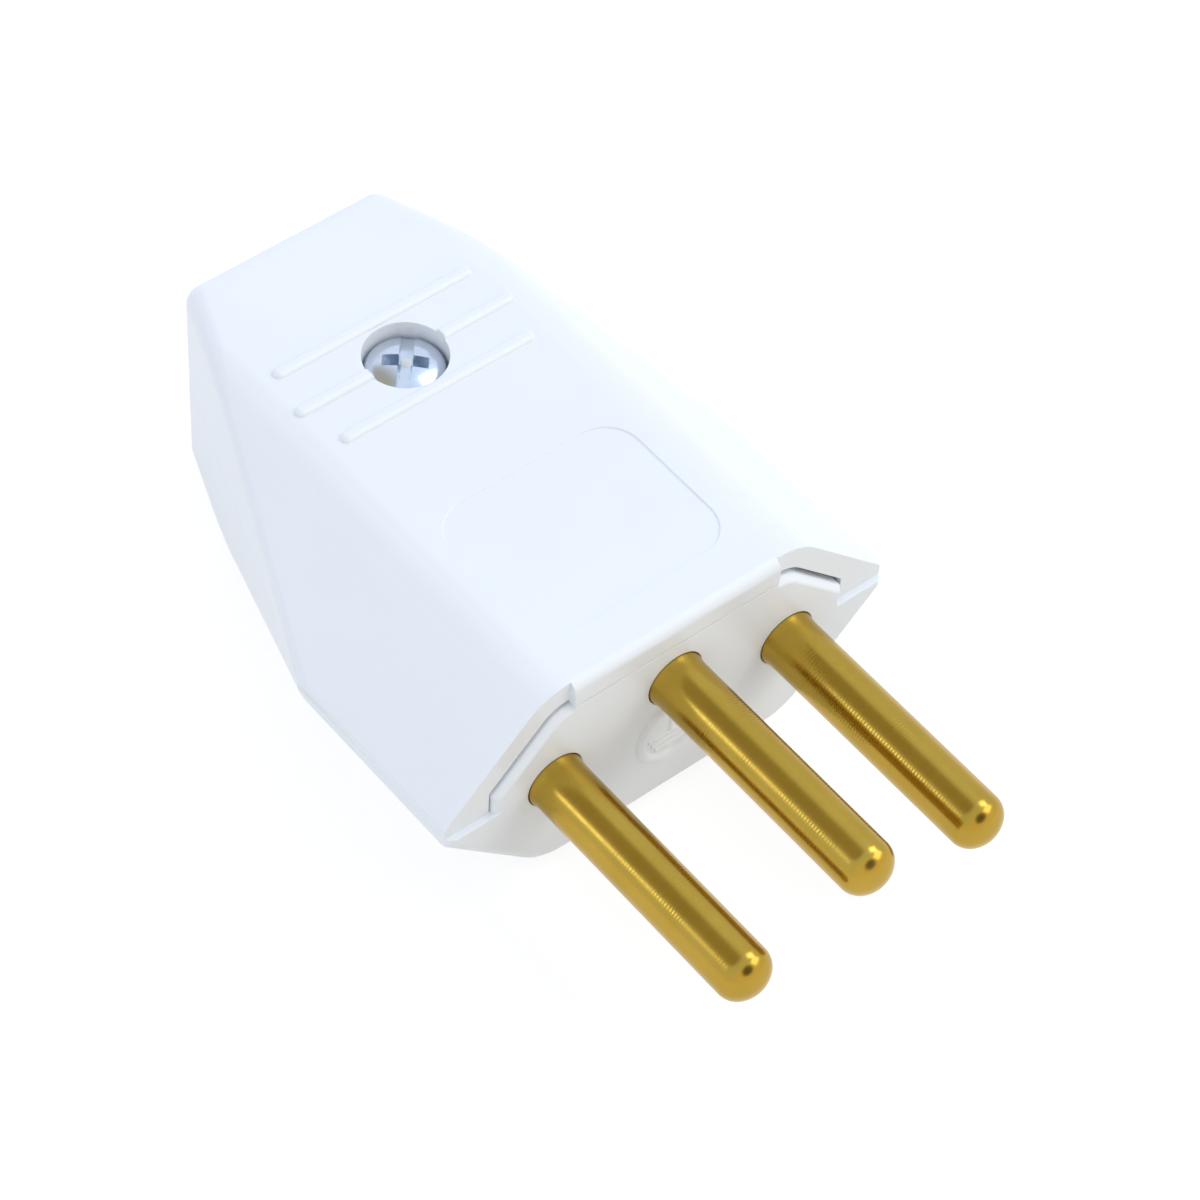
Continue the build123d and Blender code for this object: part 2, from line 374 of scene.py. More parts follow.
# what the cuts of all the screws share
screwCut = {
    "threadStart": 0.12,  # share of the saw wave where the thread starts to bite
    "threadFull": 0.8,  # and where it is at its deepest
    "punchEnd": (0.34, 0.62),  # what the cross punch keeps at its end, along a wing and across
    "punchProud": 0.01,  # how much of the punch stands out of the head
    "wingLift": 0.006,  # one wing stands higher, so that no two faces lie in one plane
}


def makeScrewTree(cut):
    # turned screw: helical thread, driver slot and, where wanted, a cross recess
    tree, given = makeTree("slottedScrew", {
        "Sides": int, "Pitch": float, "Head Top": float,
        "Slot Length": float, "Slot Width": float, "Slot Depth": float, "Crossed": bool,
        "Cross Length": float, "Cross Width": float, "Cross Depth": float,
        "Turn": float, "Place": tuple,
    })
    blank = addLathe(tree, given, given["Geometry"])

    spot = addNode(tree, "GeometryNodeInputPosition")
    axes = addNode(tree, "ShaderNodeSeparateXYZ", {0: spot.outputs["Position"]})
    bearing = addNode(tree, "ShaderNodeMath", {
        0: axes.outputs["Y"], 1: axes.outputs["X"],
    }, operation="ARCTAN2")
    lead = addNode(tree, "ShaderNodeMath", {
        0: bearing.outputs[0], 1: 2 * math.pi,
    }, operation="DIVIDE")
    climb = addNode(tree, "ShaderNodeMath", {
        0: axes.outputs["Z"], 1: given["Pitch"],
    }, operation="DIVIDE")
    phase = addNode(tree, "ShaderNodeMath", {
        0: climb.outputs[0], 1: lead.outputs[0],
    }, operation="SUBTRACT")
    saw = addNode(tree, "ShaderNodeMath", {0: phase.outputs[0], 1: 1.0}, operation="PINGPONG")
    vee = addNode(tree, "ShaderNodeMapRange", {
        "Value": saw.outputs[0], "From Min": cut["threadStart"], "From Max": cut["threadFull"],
        "To Min": 0.0, "To Max": -1.0,
    })
    bite = addNode(tree, "GeometryNodeInputNamedAttribute", {
        "Name": "threadBite",
    }, data_type="FLOAT")
    depth = addNode(tree, "ShaderNodeMath", {
        0: vee.outputs["Result"], 1: bite.outputs["Attribute"],
    }, operation="MULTIPLY")
    flat = addNode(tree, "ShaderNodeVectorMath", {
        0: spot.outputs["Position"], 1: (1.0, 1.0, 0.0),
    }, operation="MULTIPLY")
    outward = addNode(tree, "ShaderNodeVectorMath", {
        0: flat.outputs["Vector"],
    }, operation="NORMALIZE")
    shift = addNode(tree, "ShaderNodeVectorMath", {
        0: outward.outputs["Vector"], "Scale": depth.outputs[0],
    }, operation="SCALE")
    threaded = addNode(tree, "GeometryNodeSetPosition", {
        "Geometry": blank, "Offset": shift.outputs["Vector"],
    })

    top = addNode(tree, "ShaderNodeCombineXYZ", {"Z": given["Head Top"]})
    slotTall = addNode(tree, "ShaderNodeMath", {
        0: given["Slot Depth"], 1: 2.0,
    }, operation="MULTIPLY")
    slotSize = addNode(tree, "ShaderNodeCombineXYZ", {
        "X": given["Slot Length"], "Y": given["Slot Width"], "Z": slotTall.outputs[0],
    })
    slotBar = addNode(tree, "GeometryNodeMeshCube", {"Size": slotSize.outputs["Vector"]})
    slot = addNode(tree, "GeometryNodeTransform", {
        "Geometry": slotBar.outputs["Mesh"], "Translation": top.outputs["Vector"],
    })
    slotted = addNode(tree, "GeometryNodeMeshBoolean", {
        "Mesh 1": threaded.outputs["Geometry"], "Mesh 2": [slot.outputs["Geometry"]],
    }, operation="DIFFERENCE")

    punch = addNode(tree, "GeometryNodeMeshCube", {"Size": (1.0, 1.0, 1.0)})
    corner = addNode(tree, "ShaderNodeSeparateXYZ", {0: spot.outputs["Position"]})
    taperLong = addNode(tree, "ShaderNodeMapRange", {
        "Value": corner.outputs["Z"], "From Min": -0.5, "From Max": 0.5,
        "To Min": cut["punchEnd"][0], "To Max": 1.0,
    })
    taperWide = addNode(tree, "ShaderNodeMapRange", {
        "Value": corner.outputs["Z"], "From Min": -0.5, "From Max": 0.5,
        "To Min": cut["punchEnd"][1], "To Max": 1.0,
    })
    taper = addNode(tree, "ShaderNodeCombineXYZ", {
        "X": taperLong.outputs["Result"], "Y": taperWide.outputs["Result"], "Z": 1.0,
    })
    drawnIn = addNode(tree, "ShaderNodeVectorMath", {
        0: spot.outputs["Position"], 1: taper.outputs["Vector"],
    }, operation="MULTIPLY")
    wedge = addNode(tree, "GeometryNodeSetPosition", {
        "Geometry": punch.outputs["Mesh"], "Position": drawnIn.outputs["Vector"],
    })
    wingSize = addNode(tree, "ShaderNodeCombineXYZ", {
        "X": given["Cross Length"], "Y": given["Cross Width"], "Z": given["Cross Depth"],
    })
    sunk = addNode(tree, "ShaderNodeMath", {
        0: given["Cross Depth"], 1: cut["punchProud"] - 0.5, 2: given["Head Top"],
    }, operation="MULTIPLY_ADD")
    wingSpot = addNode(tree, "ShaderNodeCombineXYZ", {"Z": sunk.outputs[0]})
    wing = addNode(tree, "GeometryNodeTransform", {
        "Geometry": wedge.outputs["Geometry"], "Scale": wingSize.outputs["Vector"],
        "Translation": wingSpot.outputs["Vector"],
    })
    crossWing = addNode(tree, "GeometryNodeTransform", {
        "Geometry": wing.outputs["Geometry"], "Rotation": (0.0, 0.0, math.pi / 2),
        "Translation": (0.0, 0.0, cut["wingLift"]),
    })
    recessed = addNode(tree, "GeometryNodeMeshBoolean", {
        "Mesh 1": slotted.outputs["Mesh"],
        "Mesh 2": [wing.outputs["Geometry"], crossWing.outputs["Geometry"]],
    }, operation="DIFFERENCE")
    driven = addNode(tree, "GeometryNodeSwitch", {
        "Switch": given["Crossed"], "False": slotted.outputs["Mesh"],
        "True": recessed.outputs["Mesh"],
    }, input_type="GEOMETRY")

    turn = addNode(tree, "ShaderNodeMath", {0: given["Turn"]}, operation="RADIANS")
    spin = addNode(tree, "ShaderNodeCombineXYZ", {"Z": turn.outputs[0]})
    placed = addNode(tree, "GeometryNodeTransform", {
        "Geometry": driven.outputs["Output"], "Rotation": spin.outputs["Vector"],
        "Translation": given["Place"],
    })
    return closeTree(tree, given, placed.outputs["Geometry"])


def threadRun(size, top, bottom, radius, stepsPerPitch=8):
    # lathe points down a threaded shank, where the thread fades in from its top
    count = math.ceil((top - bottom) / size["pitch"] * stepsPerPitch)
    points = []
    for i in range(count + 1):
        height = top + (bottom - top) * i / count
        bite = size["bite"] * min(1.0, (top - height) / size["runIn"])
        points.append((radius, height, bite))
    return points


def shankRun(size, radius, seat, end):
    # lathe points from the head's under edge, down the shank and round its point
    inward, upward = size["underEdge"]
    outward, downward = size["neck"]
    shank, point = size["shankRadius"], size["point"]
    under = [(radius, seat + upward), (radius - inward, seat), (shank + outward, seat)]
    thread = threadRun(size, seat - downward, end + point, shank)
    return under + thread + [(shank - point, end), (0.0, end)]


def cutScrew(name, tree, section, size, node, finish):
    # runs the screw tree on a half section, at the place of its CAD node
    values = {
        "Sides": size["sides"], "Pitch": size["pitch"], "Head Top": solidBox(node)[1].z,
        "Turn": size["turn"], "Crossed": "cross" in size,
    }
    for recess in ("slot", "cross"):
        for label, length in zip(("Length", "Width", "Depth"), size.get(recess, ())):
            values[recess.title() + " " + label] = length
    middle = solidMiddle(node)
    values["Place"] = (middle.x, middle.y, 0.0)
    return runTree(name, tree, profileMesh(name + "Section", section), values, finish)


coverScrew = {
    "sides": 56,
    "turn": 48.0,
    "headHeight": 2.0,
    "crownDrop": 0.85,  # from the middle of the oval crown to its edge
    "crownSteps": 14,
    "underEdge": (0.1, 0.12),  # how the head's lower edge is broken, inward and upward
    "neck": (0.1, 0.1),  # slope from head to shank, outward and downward
    "shankRadius": 1.5,
    "point": 0.4,
    "pitch": 0.5,
    "bite": 0.3,
    "runIn": 0.5,
    "slot": (6.4, 0.9, 0.9),  # length, width and depth, as in the cross
    "cross": (3.4, 1.0, 1.3),
    "sharp": 32.0,
}


def makeCoverScrew(tree, size):
    low, high = solidBox("cover_screw")
    radius = (high.x - low.x) / 2
    section = []
    for step in range(size["crownSteps"] + 1):  # oval crown that rolls into an upright edge
        angle = math.pi / 2 * step / size["crownSteps"]
        height = high.z - size["crownDrop"] * (1 - math.cos(angle))
        section.append((radius * math.sin(angle), height))
    section += shankRun(size, radius, high.z - size["headHeight"], low.z)
    mesh = cutScrew("coverScrew", tree, section, size, "cover_screw", zincScrew)
    settle("coverScrewPlated", mesh, "cover_screw", size["sharp"])


clampScrew = {
    "sides": 40,
    "turn": 0.0,
    "headHeight": 1.5,
    "crownFlat": (0.45, 0.02),  # how far in from the edge the flat crown ends, and its fall
    "crownRound": 0.32,
    "crownSpan": 80.0,  # degrees that the round turns through
    "crownSteps": 4,
    "underEdge": (0.08, 0.08),
    "neck": (0.08, 0.1),
    "shankRadius": 1.1,
    "point": 0.7,
    "pitch": 0.8,
    "bite": 0.28,
    "runIn": 0.5,
    "slot": (4.6, 0.6, 0.8),
    "sharp": 32.0,
}


def makeClampScrew(tree, size, side):
    node = "clamp_screw_" + side
    low, high = solidBox(node)
    radius = (high.x - low.x) / 2
    inset, fall = size["crownFlat"]
    bend, span = size["crownRound"], size["crownSpan"]
    section = [(0.0, high.z), (radius - inset, high.z - fall)]
    for step in range(size["crownSteps"] + 1):
        angle = math.radians(span - span * step / size["crownSteps"])
        height = high.z - (fall + bend) + bend * math.sin(angle)
        section.append((radius - bend * (1 - math.cos(angle)), height))
    section += shankRun(size, radius, high.z - size["headHeight"], low.z)
    mesh = cutScrew("clampScrew", tree, section, size, node, zincScrew)
    settle("clampScrewPlated_" + side, mesh, node, size["sharp"])


terminalScrew = {
    "sides": 40,
    "turn": 0.0,
    "chamfer": 0.25,
    "pitch": 0.5,
    "bite": 0.28,
    "runIn": 0.25,
    "slot": (3.6, 0.6, 0.8),
    "sharp": 32.0,
}


def makeTerminalScrew(tree, size, pole):
    node = pole + "_terminal_screw"
    low, high = solidBox(node)
    radius, cut = (high.x - low.x) / 2, size["chamfer"]
    section = [(0.0, high.z), (radius - cut, high.z)]
    section += threadRun(size, high.z - cut, low.z + cut, radius)
    section += [(radius - 2 * cut, low.z), (0.0, low.z)]
    mesh = cutScrew("terminalScrew", tree, section, size, node, steelScrew)
    settle("terminalScrewTurned_" + pole, mesh, node, size["sharp"])


poles = ("line", "neutral", "earth")
screwTree = makeScrewTree(screwCut)
makeCoverScrew(screwTree, coverScrew)
for side in ("left", "right"):
    makeClampScrew(screwTree, clampScrew, side)
for pole in poles:
    makeTerminalScrew(screwTree, terminalScrew, pole)
print("screws cut")

coverNut = {
    "sides": 60,
    "bore": 3.1,
    "chamfer": 0.3,
    "shoulder": 0.05,  # how far inside the flats the chamfer of the corners starts
    "slope": 30.0,
    "ringSpare": 0.05,  # how far the turned ring passes the corners
    "barSpare": 0.02,  # how much taller the bar is than the ring that cuts it
    "sharp": 25.0,
}


def makeNutTree():
    # hexagon bar cut by a turned ring, which chamfers its corners and bores it
    tree, given = makeTree("hexagonNut", {
        "Sides": int, "Corner Radius": float, "Height": float, "Place": tuple,
    })
    ring = addLathe(tree, given, given["Geometry"])
    bar = addNode(tree, "GeometryNodeMeshCylinder", {
        "Vertices": 6, "Radius": given["Corner Radius"], "Depth": given["Height"],
    })
    cut = addNode(tree, "GeometryNodeMeshBoolean", {
        "Mesh 2": [ring, bar.outputs["Mesh"]],
    }, operation="INTERSECT")
    placed = addNode(tree, "GeometryNodeTransform", {
        "Geometry": cut.outputs["Mesh"], "Translation": given["Place"],
    })
    return closeTree(tree, given, placed.outputs["Geometry"])


def makeCoverNut(size):
    low, high = solidBox("cover_nut")
    half = (high.z - low.z) / 2
    corner = (high.x - low.x) / 2
    bore, cut = size["bore"] / 2, size["chamfer"]
    shoulder = (high.y - low.y) / 2 - size["shoulder"]
    rim = corner + size["ringSpare"]
    drop = (rim - shoulder) * math.tan(math.radians(size["slope"]))
    upper = [(bore, half - cut), (bore + cut, half), (shoulder, half), (rim, half - drop)]
    lower = [(radius, -height) for radius, height in reversed(upper)]
    section = profileMesh("coverNutSection", upper + lower + upper[:1])
    mesh = runTree("coverNut", makeNutTree(), section, {
        "Sides": size["sides"], "Corner Radius": corner, "Height": 2 * half + size["barSpare"],
        "Place": tuple(solidMiddle("cover_nut")),
    }, zincScrew)
    settle("coverNutPlated", mesh, "cover_nut", size["sharp"])


makeCoverNut(coverNut)
print("nut cut")

contactPin = {
    "sides": 96,
    "tipRadius": 2.3,
    "tipSteps": 12,
    "tipRound": 1.5,  # rolls the dome into the shaft, with no knife edge between them
    "roundSteps": 8,
    "radius": 2.0,
    "flareFrom": -0.8,  # the pin flares where it leaves the shell
    "flareSteps": 5,
    "rootRadius": 2.1,
    "barrelFront": 7.0,
    "barrelEdge": (0.2, 0.25),  # how far its front and rear edges are broken
    "boreRadius": 1.6,
    "boreEdge": 0.2,
    "boreFront": 9.2,
    "drillPoint": 0.5,
    "tapRadius": 1.55,
    "tapSides": 40,
    "tapSpare": 1.0,  # how far over the barrel the tapped hole's drill reaches
    "sharp": 28.0,
}


def makePinTree():
    # turned pin laid along y, with the tapped hole of its terminal screw drilled from above
    tree, given = makeTree("contactPin", {
        "Sides": int, "Tap Set Back": float, "Tap Radius": float, "Tap Sides": int,
        "Tap Reach": float, "Place": tuple,
    })
    blank = addLathe(tree, given, given["Geometry"])
    laid = addNode(tree, "GeometryNodeTransform", {
        "Geometry": blank, "Rotation": (-math.pi / 2, 0.0, 0.0),
    })
    drill = addNode(tree, "GeometryNodeMeshCylinder", {
        "Vertices": given["Tap Sides"], "Radius": given["Tap Radius"], "Depth": given["Tap Reach"],
    })
    halfReach = addNode(tree, "ShaderNodeMath", {
        0: given["Tap Reach"], 1: 0.5,
    }, operation="MULTIPLY")
    over = addNode(tree, "ShaderNodeCombineXYZ", {
        "Y": given["Tap Set Back"], "Z": halfReach.outputs[0],
    })
    above = addNode(tree, "GeometryNodeTransform", {
        "Geometry": drill.outputs["Mesh"], "Translation": over.outputs["Vector"],
    })
    drilled = addNode(tree, "GeometryNodeMeshBoolean", {
        "Mesh 1": laid.outputs["Geometry"], "Mesh 2": [above.outputs["Geometry"]],
    }, operation="DIFFERENCE")
    placed = addNode(tree, "GeometryNodeTransform", {
        "Geometry": drilled.outputs["Mesh"], "Translation": given["Place"],
    })
    return closeTree(tree, given, placed.outputs["Geometry"])


def tipRun(size, end):
    # lathe points over the domed tip and the round behind it
    radius, dome, bend = size["radius"], size["tipRadius"], size["tipRound"]
    meet = math.asin((radius - bend) / (dome - bend))
    middle = end + dome - (dome - bend) * math.cos(meet)  # of the round, along the pin
    points = []
    for step in range(size["tipSteps"] + 1):
        angle = meet * step / size["tipSteps"]
        points.append((dome * math.sin(angle), end + dome * (1 - math.cos(angle))))
    for step in range(1, size["roundSteps"] + 1):
        angle = meet + (math.pi / 2 - meet) * step / size["roundSteps"]
        points.append((radius - bend * (1 - math.sin(angle)), middle - bend * math.cos(angle)))
    return points


def barrelRun(size, radius, end):
    # lathe points over the terminal barrel and into its bore
    front, bore = size["barrelFront"], size["boreRadius"]
    frontEdge, rearEdge = size["barrelEdge"]
    return [
        (size["rootRadius"], front), (radius - frontEdge, front), (radius, front + frontEdge),
        (radius, end - rearEdge), (radius - rearEdge, end), (bore + size["boreEdge"], end),
        (bore, end - size["boreEdge"]), (bore, size["boreFront"]),
        (0.0, size["boreFront"] - size["drillPoint"]),
    ]


def makeContactPin(tree, size, pole):
    node = pole + "_pin"
    low, high = solidBox(node)
    middle = solidMiddle(node)
    section = tipRun(size, low.y)
    swell = size["rootRadius"] - size["radius"]
    for step in range(size["flareSteps"] + 1):
        share = step / size["flareSteps"]
        section.append((size["radius"] + swell * share * share, size["flareFrom"] * (1 - share)))
    barrel = (high.x - low.x) / 2
    section += barrelRun(size, barrel, high.y)
    section.reverse()  # from the back, so that the lathe turns its faces outward
    mesh = runTree("contactPin", tree, profileMesh("contactPinSection", section), {
        "Sides": size["sides"], "Tap Set Back": solidMiddle(pole + "_terminal_screw").y,
        "Tap Radius": size["tapRadius"], "Tap Sides": size["tapSides"],
        "Tap Reach": barrel + size["tapSpare"], "Place": (middle.x, 0.0, middle.z),
    }, brassPin)
    settle("contactPinTurned_" + pole, mesh, node, size["sharp"])


pinTree = makePinTree()
for pole in poles:
    makeContactPin(pinTree, contactPin, pole)
print("pins turned")

earthSign = {
    "place": (0.0, 0.06, -2.1),
    "ringDiameter": 5.0,
    "ringStroke": 0.84,
    "ringSunk": 0.08,
    "ringSides": (72, 20),  # round the ring, and round its stroke
    "barStroke": 0.4,
    "barSides": 16,
    "barEnd": (0.2, 0.1),  # how far from its end a stroke narrows, and to what share
    # the next two in shares of the ring's radius; strokes that overlap would leave folded faces,
    # so the stem ends just clear of the first bar
    "stem": (0.7, -0.02),
    "bars": ((-0.1, 0.72), (-0.32, 0.62), (-0.54, 0.5)),  # height and half length
}


def makeSignTree():
    # raised strokes of the earth sign inside its ring
    tree, given = makeTree("earthSign", {
        "Ring Radius": float, "Ring Stroke": float, "Ring Sunk": float, "Ring Sides": int,
        "Ring Stroke Sides": int, "Bar Stroke": float, "Bar Sides": int, "Place": tuple,
    })
    half = addNode(tree, "ShaderNodeMath", {
        0: given["Bar Stroke"], 1: 0.5,
    }, operation="MULTIPLY")
    bead = addNode(tree, "GeometryNodeCurvePrimitiveCircle", {
        "Resolution": given["Bar Sides"], "Radius": half.outputs[0],
    })
    ringHalf = addNode(tree, "ShaderNodeMath", {
        0: given["Ring Stroke"], 1: 0.5,
    }, operation="MULTIPLY")
    ringBead = addNode(tree, "GeometryNodeCurvePrimitiveCircle", {
        "Resolution": given["Ring Stroke Sides"], "Radius": ringHalf.outputs[0],
    })
    line = addNode(tree, "GeometryNodeMeshToCurve", {"Mesh": given["Geometry"]})
    strokes = addNode(tree, "GeometryNodeCurveToMesh", {
        "Curve": line.outputs["Curve"], "Profile Curve": bead.outputs["Curve"], "Fill Caps": True,
    })
    circle = addNode(tree, "GeometryNodeCurvePrimitiveCircle", {
        "Resolution": given["Ring Sides"], "Radius": given["Ring Radius"],
    })
    ring = addNode(tree, "GeometryNodeCurveToMesh", {
        "Curve": circle.outputs["Curve"], "Profile Curve": ringBead.outputs["Curve"],
    })
    under = addNode(tree, "ShaderNodeMath", {
        0: given["Ring Sunk"], 1: -1.0,
    }, operation="MULTIPLY")
    ringSpot = addNode(tree, "ShaderNodeCombineXYZ", {"Z": under.outputs[0]})
    ringSet = addNode(tree, "GeometryNodeTransform", {
        "Geometry": ring.outputs["Mesh"], "Translation": ringSpot.outputs["Vector"],
    })
    joined = addNode(tree, "GeometryNodeJoinGeometry", {
        "Geometry": [strokes.outputs["Mesh"], ringSet.outputs["Geometry"]],
    })
    placed = addNode(tree, "GeometryNodeTransform", {
        "Geometry": joined.outputs["Geometry"], "Rotation": (math.pi / 2, 0.0, 0.0),
        "Translation": given["Place"],
    })
    return closeTree(tree, given, placed.outputs["Geometry"])


def makeEarthSign(size):
    radius = size["ringDiameter"] / 2
    ends = [[(0.0, radius * share, 0.0) for share in size["stem"]]]
    for height, half in size["bars"]:
        ends.append([(side * radius * half, radius * height, 0.0) for side in (-1, 1)])
    inset, narrow = size["barEnd"]
    points, edges, radii = [], [], []
    for start, stop in ends:
        start, stop = Vector(start), Vector(stop)
        step = (stop - start).normalized() * inset
        edges += [(len(points) + i, len(points) + i + 1) for i in range(3)]
        points += [start, start + step, stop - step, stop]
        radii += [narrow, 1.0, 1.0, narrow]
    strokes = bpy.data.meshes.new("earthSignStrokes")
    strokes.from_pydata(points, edges, [])
    strokes.attributes.new("radius", "FLOAT", "POINT").data.foreach_set("value", radii)
    mesh = runTree("earthSign", makeSignTree(), strokes, {
        "Ring Radius": radius, "Ring Stroke": size["ringStroke"], "Ring Sunk": size["ringSunk"],
        "Ring Sides": size["ringSides"][0], "Ring Stroke Sides": size["ringSides"][1],
        "Bar Stroke": size["barStroke"], "Bar Sides": size["barSides"], "Place": size["place"],
    }, whiteShell)
    sign = bpy.data.objects.new("earthSignCutter", mesh)
    scene.collection.objects.link(sign)
    return sign


# how the mouldings' hard edges are broken; angles in degrees
mouldedEdge = {
    "flat": 0.3,  # facets that meet at less than this are one face
    "angle": 25.0,  # edges sharper than this are broken
    "bevel": 0.06,
    "segments": 3,
    "crease": 45.0,  # edges sharper than this split the shading
    "evenness": 60,  # how far the large faces rule the shading
    "stray": 40.0,  # the most that a corner's shading may turn from its face
    "zones": (),  # other widths inside a box: lowest corner, highest corner, width
}


def bothSides(low, high, width):
    # a zone on the right and its mirror image on the left
    left = (-high[0], *low[1:]), (-low[0], *high[1:]), width
    return (low, high, width), left


# front edges of the block: crisp under the lip, rounded down its slants and sides
baseShell = dict(mouldedEdge, zones=(
    ((-8.1, -0.05, 5.5), (8.1, 0.45, 6.5), 0.03),
    ((-14.4, -0.05, 5.5), (14.4, 0.45, 8.4), 0.12),
    *bothSides((8.6, -0.05, 2.6), (14.4, 0.45, 5.5), 0.12),
    *bothSides((13.0, -0.05, 0.05), (14.4, 0.45, 2.6), 0.12),
))
topCover = dict(mouldedEdge, zones=(
    ((-9.0, 24.0, 8.7), (9.0, 32.5, 8.8), 0.13),  # grip ribs: tops, sides, ends, then feet
    ((-9.0, 24.0, 8.5), (9.0, 32.5, 8.6), 0.08),
    *bothSides((8.3, 27.5, 8.36), (9.0, 28.7, 8.43), 0.0),
    ((-9.0, 24.0, 8.36), (9.0, 32.5, 8.42), 0.05),
    *bothSides((8.29, 0.45, 8.33), (8.31, 0.85, 8.41), 0.0),  # run-out of the lip at its two ends
))
cordClamp = dict(mouldedEdge)


def edgeWidth(size, spot):
    for low, high, width in size["zones"]:
        if all(low[i] <= spot[i] <= high[i] for i in range(3)):
            return width
    return size["bevel"]


def splitFront(edit, level=0.001):
    # splits the front face down its middle, so that no stroke of the sign leaves a hole in a face
    front = [
        f for f in edit.faces
        if f.normal.y < level - 1 and abs(f.calc_center_median().y) < level
    ]
    edges = [e for f in front for e in f.edges]
    corners = [v for f in front for v in f.verts]
    bmesh.ops.bisect_plane(
        edit, geom=list(dict.fromkeys(front + edges + corners)),
        plane_co=(0.0, 0.0, 0.0), plane_no=(1.0, 0.0, 0.0),
    )


def weldedSolid(node, size, widest, split):
    # the solid as one closed mesh in millimetres, with each edge's width as a share of the widest
    edit = bmesh.new()
    edit.from_mesh(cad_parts[node].data)
    edit.transform(Matrix.Scale(1 / mm, 4))
    bmesh.ops.remove_doubles(edit, verts=edit.verts, dist=weldGap)
    bmesh.ops.dissolve_limit(
        edit, angle_limit=math.radians(size["flat"]), verts=edit.verts, edges=edit.edges,
    )
    if split:
        splitFront(edit)
    share = edit.edges.layers.float.new("bevel_weight_edge")
    for edge in edit.edges:
        if edge.calc_face_angle() > math.radians(size["angle"]):
            middle = (edge.verts[0].co + edge.verts[1].co) / 2
            edge[share] = edgeWidth(size, middle) / widest
    mesh = bpy.data.meshes.new(node + "Soft")
    edit.to_mesh(mesh)
    edit.free()
    for stale in ("custom_normal", "sharp_face", "sharp_edge"):
        if stale in mesh.attributes:
            mesh.attributes.remove(mesh.attributes[stale])
    mesh.shade_smooth()
    return mesh


def straightenCorners(mesh, stray):
    # a corner whose shading strays far from its own face is shaded with that face
    shading = [corner.vector.copy() for corner in mesh.corner_normals]
    for face in mesh.polygons:
        for i in face.loop_indices:
            if shading[i].angle(face.normal, 0.0) > math.radians(stray):
                shading[i] = face.normal.copy()
    mesh.normals_split_custom_set(shading)


def softMoulding(node, size, finish, relief=None):
    # copy of the solid with every hard edge broken as a mould breaks it
    widest = max([size["bevel"]] + [zone[2] for zone in size["zones"]])
    mesh = weldedSolid(node, size, widest, relief is not None)
    mesh.materials.clear()
    mesh.materials.append(finish)
    source = bpy.data.objects.new(node + "Soft", mesh)
    scene.collection.objects.link(source)
    broken = source.modifiers.new("brokenEdges", "BEVEL")
    broken.width = widest
    broken.segments = size["segments"]
    broken.limit_method = "WEIGHT"
    broken.use_clamp_overlap = False
    if relief:
        source.modifiers.new("facets", "TRIANGULATE")
        union = source.modifiers.new("relief", "BOOLEAN")
        union.operation = "UNION"
        union.object = relief
        union.solver = "MANIFOLD"
    made = plainMesh(node + "Moulding", source)
    if relief:
        bpy.data.objects.remove(relief)
    made.set_sharp_from_angle(angle=math.radians(size["crease"]))
    shaded = bpy.data.objects.new(node + "Shaded", made)
    scene.collection.objects.link(shaded)
    weigh = shaded.modifiers.new("evenNormals", "WEIGHTED_NORMAL")
    weigh.weight = size["evenness"]
    weigh.keep_sharp = True
    made = plainMesh(node + "Moulding", shaded)
    straightenCorners(made, size["stray"])
    return made


baseMesh = softMoulding("base_shell", baseShell, whiteShell, makeEarthSign(earthSign))
settle("baseShellMoulding", baseMesh, "base_shell")
coverMesh = softMoulding("top_cover", topCover, whiteShell)
settle("topCoverMoulding", coverMesh, "top_cover")
clampMesh = softMoulding("cord_clamp", cordClamp, nylonClamp)
settle("cordClampMoulding", clampMesh, "cord_clamp")
print("mouldings softened")

floorSweep = {
    "colour": "#E0E0DE",
    "glow": 0.79,
    "thin": 0.3,  # what the floor that is seen gives back, over its glow
    "reach": 6.0,  # metres each way
    "drop": 0.05,  # clear of the underside
}


def makeFloor(size):
    # pale sweep that stays white to the eye and in the metal, and still takes the shadow
    mesh = bpy.data.meshes.new("floorSweep")
    level = cadBox[0].z - size["drop"] * mm
    reach = size["reach"]
    mesh.from_pydata([
        (-reach, -reach, level), (reach, -reach, level), (reach, reach, level),
        (-reach, reach, level),
    ], [], [(0, 1, 2, 3)])
    floor = bpy.data.objects.new("floorSweep", mesh)
    scene.collection.objects.link(floor)
    material = bpy.data.materials.new("paleFloor")
    material.use_nodes = True
    tree = material.node_tree
    tree.nodes.clear()
    matt = addNode(tree, "ShaderNodeBsdfDiffuse", {"Color": hexColour(size["colour"])})
    thin = addNode(tree, "ShaderNodeBsdfDiffuse", {"Color": (*[size["thin"]] * 3, 1.0)})
    glow = addNode(tree, "ShaderNodeEmission", {
        "Color": (1.0, 1.0, 1.0, 1.0), "Strength": size["glow"],
    })
    seen = addNode(tree, "ShaderNodeAddShader", {0: thin.outputs[0], 1: glow.outputs[0]})
    rays = addNode(tree, "ShaderNodeLightPath")
    either = addNode(tree, "ShaderNodeMath", {
        0: rays.outputs["Is Camera Ray"], 1: rays.outputs["Is Glossy Ray"],
    }, operation="MAXIMUM")
    each = addNode(tree, "ShaderNodeMath", {
        0: either.outputs[0], 1: rays.outputs["Is Transmission Ray"],
    }, operation="MAXIMUM")
    mixed = addNode(tree, "ShaderNodeMixShader", {
        0: each.outputs[0], 1: matt.outputs[0], 2: seen.outputs[0],
    })
    addNode(tree, "ShaderNodeOutputMaterial", {"Surface": mixed.outputs[0]})
    mesh.materials.append(material)


